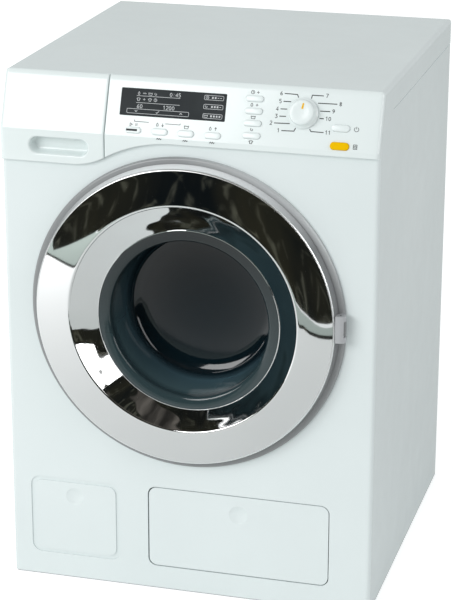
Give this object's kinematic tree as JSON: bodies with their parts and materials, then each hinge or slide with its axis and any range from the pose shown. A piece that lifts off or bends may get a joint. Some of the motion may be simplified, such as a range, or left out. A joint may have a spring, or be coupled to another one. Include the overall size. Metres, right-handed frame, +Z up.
{
  "type": "toy washing machine",
  "caption": "Child's front-loading toy washing machine with a hinged chrome porthole door, turning drum, sliding drawer, push buttons and a leaning control panel.",
  "frame": {"origin": "centre of the cabinet's flat underside, on the surface it stands on", "axes": "+X to the right seen from the front, the door faces -Y, +Z up"},
  "size_m": [0.185, 0.1922, 0.261],
  "materials": {
    "white_plastic": "glossy moulded plastic",
    "white_panel": "glossy moulded plastic",
    "grey_satin": "satin silver-grey plastic",
    "inner_grey": "matte moulded plastic",
    "light_silver": "satin silver plastic",
    "chrome_plate": "vacuum-plated plastic, mirror bright",
    "smoked": "clear smoked moulding",
    "display_dark": "dark printed window",
    "yellow_plastic": "glossy moulded plastic",
    "drum_metal": "silver painted moulding",
    "steel": "plated steel",
    "brass": "turned brass",
    "gear_plastic": "natural acetal plastic",
    "rubber_dark": "moulded rubber",
    "rubber_grey": "moulded rubber",
    "board_green": "lacquered laminate",
    "cell_wrap": "plain wrapped cells"
  },
  "bodies": {
    "cabinet": {"cabinet": "white_plastic", "base_plate": "white_plastic", "rear_cover": "white_plastic", "control_panel": "white_panel", "drawer_housing": "inner_grey", "door_bezel": "grey_satin", "door_seal": "rubber_grey", "tub_front": "inner_grey", "tub_rear": "inner_grey", "drum_bush": "brass", "gear_plate": "inner_grey", "idler_axle": "steel", "motor": "steel", "battery_box": "inner_grey", "battery_contacts": "brass", "batteries": "cell_wrap", "battery_cover": "white_plastic", "battery_screw": "steel", "circuit_board": "board_green", "switch_pads": "rubber_grey", "display_lens": "display_dark", "display_module": "display_dark", "speaker": "display_dark", "wire_loom": "rubber_dark", "fill_tube": "rubber_grey", "drain_pipe": "rubber_dark", "door_catch": "steel", "flap_box": "inner_grey", "flap_pin": "steel", "base_screws": "steel", "rear_screws": "steel", "tub_screws": "steel", "board_screws": "steel"},
    "drawer": {"drawer_front": "white_panel", "drawer_tray": "white_plastic"},
    "door": {"door_ring": "chrome_plate", "door_funnel": "chrome_plate", "door_glass": "smoked", "door_back": "grey_satin", "hinge_block": "light_silver", "hinge_pin": "steel", "door_screws": "steel"},
    "drum": {"drum": "drum_metal", "drum_paddles": "inner_grey", "drum_shaft": "steel", "drum_gear": "gear_plastic"},
    "idler": {"idler_gear": "gear_plastic"},
    "pinion": {"motor_pinion": "brass"},
    "knob": {"programme_knob": "white_panel"},
    "flap": {"service_flap": "white_plastic"},
    "start_button": {"start_button": "white_panel"},
    "fill_button": {"fill_button": "white_panel"},
    "wash_button": {"wash_button": "white_panel"},
    "drain_button": {"drain_button": "white_panel"},
    "option_button_1": {"option_button_1": "white_panel"},
    "option_button_2": {"option_button_2": "white_panel"},
    "option_button_3": {"option_button_3": "white_panel"},
    "option_button_4": {"option_button_4": "white_panel"},
    "power_button": {"power_button": "white_panel"},
    "door_button": {"door_button": "yellow_plastic"}
  },
  "joints": [
    {"name": "drawer_slide", "type": "slide", "parent": "cabinet", "child": "drawer", "axis": [0, -1, 0], "range_m": [0, 0.05]},
    {"name": "door_hinge", "type": "hinge", "parent": "cabinet", "child": "door", "pos_m": [0.0766, -0.0958, 0.1477], "axis": [0, 0, 1], "range_deg": [0, 95]},
    {"name": "flap_hinge", "type": "hinge", "parent": "cabinet", "child": "flap", "pos_m": [0.0256, -0.0892, 0.0176], "axis": [1, 0, 0], "range_deg": [0, 90]},
    {"name": "drum_spin", "type": "hinge", "parent": "cabinet", "child": "drum", "pos_m": [0, -0.03, 0.1474], "axis": [0, 1, 0], "continuous": true},
    {"name": "idler_spin", "type": "hinge", "parent": "cabinet", "child": "idler", "pos_m": [0, 0.048, 0.1174], "axis": [0, 1, 0], "continuous": true},
    {"name": "motor_spin", "type": "hinge", "parent": "cabinet", "child": "pinion", "pos_m": [0.01697, 0.054, 0.10043], "axis": [0, 1, 0], "continuous": true},
    {"name": "programme_turn", "type": "hinge", "parent": "cabinet", "child": "knob", "pos_m": [0.0552, -0.08746, 0.24972], "axis": [0, -0.9336, 0.3584], "continuous": true},
    {"name": "start_press", "type": "slide", "parent": "cabinet", "child": "start_button", "axis": [0, 0.9336, -0.3584], "range_m": [0, 0.0009], "stiffness_N_per_m": 150},
    {"name": "fill_press", "type": "slide", "parent": "cabinet", "child": "fill_button", "axis": [0, 0.9336, -0.3584], "range_m": [0, 0.0009], "stiffness_N_per_m": 150},
    {"name": "wash_press", "type": "slide", "parent": "cabinet", "child": "wash_button", "axis": [0, 0.9336, -0.3584], "range_m": [0, 0.0009], "stiffness_N_per_m": 150},
    {"name": "drain_press", "type": "slide", "parent": "cabinet", "child": "drain_button", "axis": [0, 0.9336, -0.3584], "range_m": [0, 0.0009], "stiffness_N_per_m": 150},
    {"name": "option_press_1", "type": "slide", "parent": "cabinet", "child": "option_button_1", "axis": [0, 0.9336, -0.3584], "range_m": [0, 0.0009], "stiffness_N_per_m": 150},
    {"name": "option_press_2", "type": "slide", "parent": "cabinet", "child": "option_button_2", "axis": [0, 0.9336, -0.3584], "range_m": [0, 0.0009], "stiffness_N_per_m": 150},
    {"name": "option_press_3", "type": "slide", "parent": "cabinet", "child": "option_button_3", "axis": [0, 0.9336, -0.3584], "range_m": [0, 0.0009], "stiffness_N_per_m": 150},
    {"name": "option_press_4", "type": "slide", "parent": "cabinet", "child": "option_button_4", "axis": [0, 0.9336, -0.3584], "range_m": [0, 0.0009], "stiffness_N_per_m": 150},
    {"name": "power_press", "type": "slide", "parent": "cabinet", "child": "power_button", "axis": [0, 0.9336, -0.3584], "range_m": [0, 0.0009], "stiffness_N_per_m": 150},
    {"name": "door_press", "type": "slide", "parent": "cabinet", "child": "door_button", "axis": [0, 0.9336, -0.3584], "range_m": [0, 0.0009], "stiffness_N_per_m": 150}
  ],
  "couplings": [
    {"joint": "idler_spin", "follows": "drum_spin", "ratio": -4},
    {"joint": "motor_spin", "follows": "drum_spin", "ratio": 12}
  ]
}
